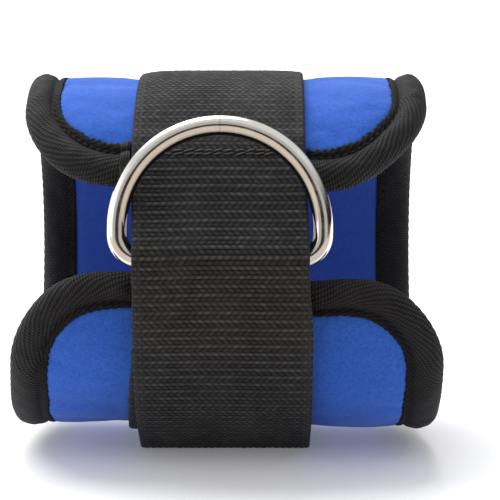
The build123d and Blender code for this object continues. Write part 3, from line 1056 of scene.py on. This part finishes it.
def patch(name, path, centre, thick, material, seed, lumps):
    """A strip of hook or loop tape: thin backing with a raised, uneven field. The field is on the
    outer face where lumps is above 0, and on the inner one where it is below."""
    face_points = 56
    border = 1.6
    line, normal, at = resample(path, 0.7)
    section = strap_section(PATCH_HALF, thick, face_points, face_points)
    rng = np.random.default_rng(seed)
    n = len(line)
    points = np.empty((n, len(section), 3))
    for k, (w, z) in enumerate(section):
        on_field = k < face_points if lumps > 0 else k >= face_points
        field = (np.abs(w) < PATCH_HALF - border) * on_field
        out = z + field * rng.uniform(0, abs(lumps), n) * (1 if lumps > 0 else -1)
        points[:, k, 0] = centre + w
        points[:, k, 1] = AXIS_Y - (line[:, 0] + normal[:, 0] * out)
        points[:, k, 2] = AXIS_Z + (line[:, 1] + normal[:, 1] * out)
    width = np.concatenate([section[:, 0], section[:1, 0]])
    return loft(name, points, at, width, material, caps=True)


def build_patches():
    """The loop patch on the sewn webbing, and the hook patch with its thread on the free end."""
    loop_path = arc((0, 0), R_OUT + WEB + 0.45, -33, -112)
    loop = patch("loop_field", loop_path, LOOP_X, 0.8, LOOP_PILE, 3, 0.28)
    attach(loop, "cuff")
    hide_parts("loop_patch")
    hook = patch("hook_field", under_path(WEB / 2 + 0.42, -46), STRAP_X, 0.7, HOOK_PILE, 5, -0.2)
    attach(hook, "tail")
    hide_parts("hook_patch")
    made = []
    seam_half = 20.5
    line, normal, _ = resample(under_path(WEB / 2 + 0.80, -47), 3.0)
    for x in (STRAP_X - seam_half, STRAP_X + seam_half):
        for i in range(len(line) - 1):
            a, b = line[i], line[i + 1]
            n = -(normal[i] + normal[i + 1]) / 2
            made.append((side_point(x, a * 0.87 + b * 0.13), side_point(x, a * 0.13 + b * 0.87),
                         (0, -n[0], n[1])))
    obj = stitch_object("hook_stitches", made, 0.16, THREAD, 0.04)
    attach(obj, "tail")
    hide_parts("hook_stitching")


# ---------------------------------------------------------------- stage

def build_floor():
    """White round the cuff. In front of it, beyond what the camera sees, it turns to a warm table."""
    table_front = 0.075
    n = Nodes("floor_paint")
    coord = n.node("ShaderNodeTexCoord")
    split = n.node("ShaderNodeSeparateXYZ")
    n.link(coord.outputs["Object"], split.inputs[0])
    far = n.math("MULTIPLY", n.math("ADD", split.outputs[1], table_front), -60.0)
    far = n.math("SMOOTH_MIN", far, 1.0, 0.05)
    far = n.math("MAXIMUM", far, 0.0)
    n.set(Base_Color=n.mix(far, (0.94, 0.94, 0.945), (0.46, 0.385, 0.31)), Roughness=0.7,
          Specular_IOR_Level=0.2, Emission_Color=(0.95, 0.95, 1.0), Emission_Strength=0.13)
    mesh = bpy.data.meshes.new("floor")
    r = 30.0
    mesh.from_pydata([(-r, -r, 0), (r, -r, 0), (r, r, 0), (-r, r, 0)], [], [(0, 1, 2, 3)])
    floor = bpy.data.objects.new("floor", mesh)
    bpy.context.scene.collection.objects.link(floor)
    mesh.materials.append(n.material)


def build_world():
    """A studio: bright above and to the left, dim to the right, with a pale card in front whose
    middle is dark. Each ramp's places run from -1 to 1 along one direction."""
    world = bpy.data.worlds.new("studio")
    bpy.context.scene.world = world
    world.use_nodes = True
    tree = world.node_tree
    tree.nodes.clear()
    coord = tree.nodes.new("ShaderNodeTexCoord")
    split = tree.nodes.new("ShaderNodeSeparateXYZ")
    tree.links.new(coord.outputs["Generated"], split.inputs[0])

    def ramp(source, *stops):
        """Colours along one direction, from (place, colour) stops."""
        scale = tree.nodes.new("ShaderNodeMapRange")
        scale.inputs["From Min"].default_value = -1
        scale.inputs["From Max"].default_value = 1
        tree.links.new(source, scale.inputs[0])
        made = tree.nodes.new("ShaderNodeValToRGB")
        while len(made.color_ramp.elements) < len(stops):
            made.color_ramp.elements.new(0.5)
        for element, (place, colour) in zip(made.color_ramp.elements, stops):
            element.position = (place + 1) / 2
            element.color = (*colour, 1)
        tree.links.new(scale.outputs[0], made.inputs[0])
        return made.outputs[0]

    def mix(factor, a, b):
        made = tree.nodes.new("ShaderNodeMix")
        made.data_type = "RGBA"
        tree.links.new(factor, made.inputs[0])
        tree.links.new(a, made.inputs[6])
        if isinstance(b, tuple):
            made.inputs[7].default_value = (*b, 1)
        else:
            tree.links.new(b, made.inputs[7])
        return made.outputs[2]

    sides = ramp(split.outputs[0], (-1.0, (2.2, 2.2, 2.23)), (-0.45, (0.98, 0.98, 0.99)),
                 (0.25, (0.18, 0.18, 0.19)), (1.0, (0.02, 0.02, 0.025)))
    above = ramp(split.outputs[2], (0.25, (0, 0, 0)), (0.6, (1, 1, 1)))
    room = mix(above, sides, (0.9, 0.9, 0.9))
    front = ramp(split.outputs[1], (-0.66, (1, 1, 1)), (-0.50, (0, 0, 0)))
    card = ramp(split.outputs[1], (-0.955, (0.05, 0.037, 0.027)), (-0.925, (0.56, 0.54, 0.52)),
                (-0.60, (0.66, 0.65, 0.64)))
    whole = mix(front, room, card)
    back = tree.nodes.new("ShaderNodeBackground")
    back.inputs["Strength"].default_value = 1.0
    tree.links.new(whole, back.inputs["Color"])
    out = tree.nodes.new("ShaderNodeOutputWorld")
    tree.links.new(back.outputs[0], out.inputs["Surface"])


def build_lights():
    """A soft sun from above, behind and to the left, and plain colours with no tone curve."""
    key = bpy.data.lights.new("key", "SUN")
    key.energy = 2.9
    key.angle = math.radians(55)
    key_obj = bpy.data.objects.new("key", key)
    key_obj.rotation_euler = Vector((0.27, -0.42, -0.88)).to_track_quat("-Z", "Y").to_euler()
    bpy.context.scene.collection.objects.link(key_obj)
    scene = bpy.context.scene
    scene.view_settings.view_transform = "Standard"
    scene.view_settings.look = "None"


def build_camera():
    """In front of the cuff and a little above it, set slightly to its right."""
    away, aside, height = 0.580, 0.0074, math.radians(8.0)
    cam = bpy.data.cameras.new("camera")
    cam.sensor_width = 36.0
    cam.lens = 136.08
    cam.clip_start, cam.clip_end = 0.01, 100.0
    obj = bpy.data.objects.new("camera", cam)
    bpy.context.scene.collection.objects.link(obj)
    back = Vector((0, -math.cos(height), math.sin(height)))
    centre = Vector((0, AXIS_Y, AXIS_Z)) * MM
    obj.location = centre + back * away + Vector((aside, 0, 0))
    obj.rotation_euler = (-back).to_track_quat("-Z", "Y").to_euler()
    bpy.context.scene.camera = obj


build_camera()
build_pad()
build_binding()
build_binding_stitches()
build_tab()
build_straps()
build_keeper()
build_ring()
build_other_stitches()
build_patches()
build_floor()
build_world()
build_lights()
